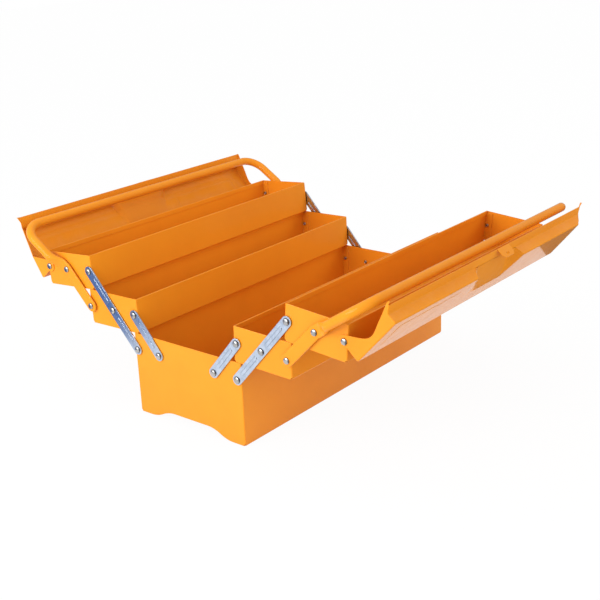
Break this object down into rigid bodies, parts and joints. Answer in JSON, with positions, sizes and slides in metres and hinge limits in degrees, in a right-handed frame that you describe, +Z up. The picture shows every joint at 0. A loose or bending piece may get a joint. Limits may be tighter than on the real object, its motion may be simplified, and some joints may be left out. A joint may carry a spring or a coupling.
{
  "type": "cantilever tool box",
  "caption": "Open steel tool box whose stacked trays, lids and tubular handles swing out to both sides on riveted flat arms.",
  "frame": {"origin": "under the middle of the base, at the level its feet stand on", "axes": "+X along the box, +Y to the rear bank of trays, +Z up"},
  "size_m": [0.532, 0.695, 0.2547],
  "materials": {
    "orange_enamel": "gloss enamel",
    "zinc_arms": "bright zinc plate",
    "rivet_steel": "zinc plated, worn"
  },
  "bodies": {
    "base": {"base_box": "orange_enamel", "base_rivets": "rivet_steel"},
    "front_long_arms": {"front_long_arm_left": "zinc_arms", "front_long_arm_right": "zinc_arms"},
    "front_short_arms": {"front_short_arm_left": "zinc_arms", "front_short_arm_right": "zinc_arms"},
    "front_lower_tray_body": {"front_lower_tray": "orange_enamel", "front_lower_tray_rivets": "rivet_steel", "front_lower_tray_spacers": "rivet_steel"},
    "front_upper_tray_body": {"front_upper_tray": "orange_enamel", "front_upper_tray_rivets": "rivet_steel", "front_upper_tray_spacers": "rivet_steel"},
    "front_handle_body": {"front_handle": "orange_enamel"},
    "front_lid_pins": {"front_lid_rivets": "rivet_steel"},
    "front_lid_body": {"front_lid": "orange_enamel"},
    "rear_long_arms": {"rear_long_arm_left": "zinc_arms", "rear_long_arm_right": "zinc_arms"},
    "rear_short_arms": {"rear_short_arm_left": "zinc_arms", "rear_short_arm_right": "zinc_arms"},
    "rear_lower_tray_body": {"rear_lower_tray": "orange_enamel", "rear_lower_tray_rivets": "rivet_steel", "rear_lower_tray_spacers": "rivet_steel"},
    "rear_upper_tray_body": {"rear_upper_tray": "orange_enamel", "rear_upper_tray_rivets": "rivet_steel", "rear_upper_tray_spacers": "rivet_steel"},
    "rear_handle_body": {"rear_handle": "orange_enamel"},
    "rear_lid_pins": {"rear_lid_rivets": "rivet_steel"},
    "rear_lid_body": {"rear_lid": "orange_enamel"}
  },
  "joints": [
    {"name": "front_fold", "type": "hinge", "parent": "base", "child": "front_long_arms", "pos_m": [0, -0.0942, 0.097], "axis": [-1, 0, 0], "range_deg": [0, 81.46]},
    {"name": "front_lower_tray_tilt", "type": "hinge", "parent": "front_long_arms", "child": "front_lower_tray_body", "pos_m": [0, -0.13853, 0.14723], "axis": [-1, 0, 0], "range_deg": [-79.86, 0]},
    {"name": "front_upper_tray_tilt", "type": "hinge", "parent": "front_long_arms", "child": "front_upper_tray_body", "pos_m": [0, -0.18287, 0.19747], "axis": [-1, 0, 0], "range_deg": [-76.86, 0]},
    {"name": "front_short_arm_turn", "type": "hinge", "parent": "base", "child": "front_short_arms", "pos_m": [0, -0.052, 0.097], "axis": [-1, 0, 0], "range_deg": [0, 80.81]},
    {"name": "front_handle_turn", "type": "hinge", "parent": "front_upper_tray_body", "child": "front_handle_body", "pos_m": [0, -0.22814, 0.19383], "axis": [-1, 0, 0], "range_deg": [0, 78.15]},
    {"name": "front_lid_follow", "type": "hinge", "parent": "front_upper_tray_body", "child": "front_lid_pins", "pos_m": [0, -0.27078, 0.1904], "axis": [-1, 0, 0], "range_deg": [0, 94]},
    {"name": "front_lid_hinge", "type": "hinge", "parent": "front_lid_pins", "child": "front_lid_body", "pos_m": [0, -0.27078, 0.1904], "axis": [-1, 0, 0], "range_deg": [0, 12.5]},
    {"name": "rear_fold", "type": "hinge", "parent": "base", "child": "rear_long_arms", "pos_m": [0, 0.0942, 0.097], "axis": [1, 0, 0], "range_deg": [0, 81.46]},
    {"name": "rear_lower_tray_tilt", "type": "hinge", "parent": "rear_long_arms", "child": "rear_lower_tray_body", "pos_m": [0, 0.13853, 0.14723], "axis": [1, 0, 0], "range_deg": [-79.86, 0]},
    {"name": "rear_upper_tray_tilt", "type": "hinge", "parent": "rear_long_arms", "child": "rear_upper_tray_body", "pos_m": [0, 0.18287, 0.19747], "axis": [1, 0, 0], "range_deg": [-76.86, 0]},
    {"name": "rear_short_arm_turn", "type": "hinge", "parent": "base", "child": "rear_short_arms", "pos_m": [0, 0.052, 0.097], "axis": [1, 0, 0], "range_deg": [0, 80.81]},
    {"name": "rear_handle_turn", "type": "hinge", "parent": "rear_upper_tray_body", "child": "rear_handle_body", "pos_m": [0, 0.22814, 0.19383], "axis": [1, 0, 0], "range_deg": [0, 78.15]},
    {"name": "rear_lid_follow", "type": "hinge", "parent": "rear_upper_tray_body", "child": "rear_lid_pins", "pos_m": [0, 0.27078, 0.1904], "axis": [1, 0, 0], "range_deg": [0, 94]},
    {"name": "rear_lid_hinge", "type": "hinge", "parent": "rear_lid_pins", "child": "rear_lid_body", "pos_m": [0, 0.27078, 0.1904], "axis": [1, 0, 0], "range_deg": [0, 12.5]}
  ],
  "couplings": [
    {"joint": "front_lower_tray_tilt", "follows": "front_fold", "ratio": -0.98036},
    {"joint": "front_upper_tray_tilt", "follows": "front_fold", "ratio": -0.94353},
    {"joint": "front_short_arm_turn", "follows": "front_fold", "ratio": 0.99198},
    {"joint": "front_handle_turn", "follows": "front_fold", "ratio": 0.95927},
    {"joint": "front_lid_follow", "follows": "front_fold", "ratio": 1.1539},
    {"joint": "rear_lower_tray_tilt", "follows": "rear_fold", "ratio": -0.98036},
    {"joint": "rear_upper_tray_tilt", "follows": "rear_fold", "ratio": -0.94353},
    {"joint": "rear_short_arm_turn", "follows": "rear_fold", "ratio": 0.99198},
    {"joint": "rear_handle_turn", "follows": "rear_fold", "ratio": 0.95927},
    {"joint": "rear_lid_follow", "follows": "rear_fold", "ratio": 1.1539}
  ]
}
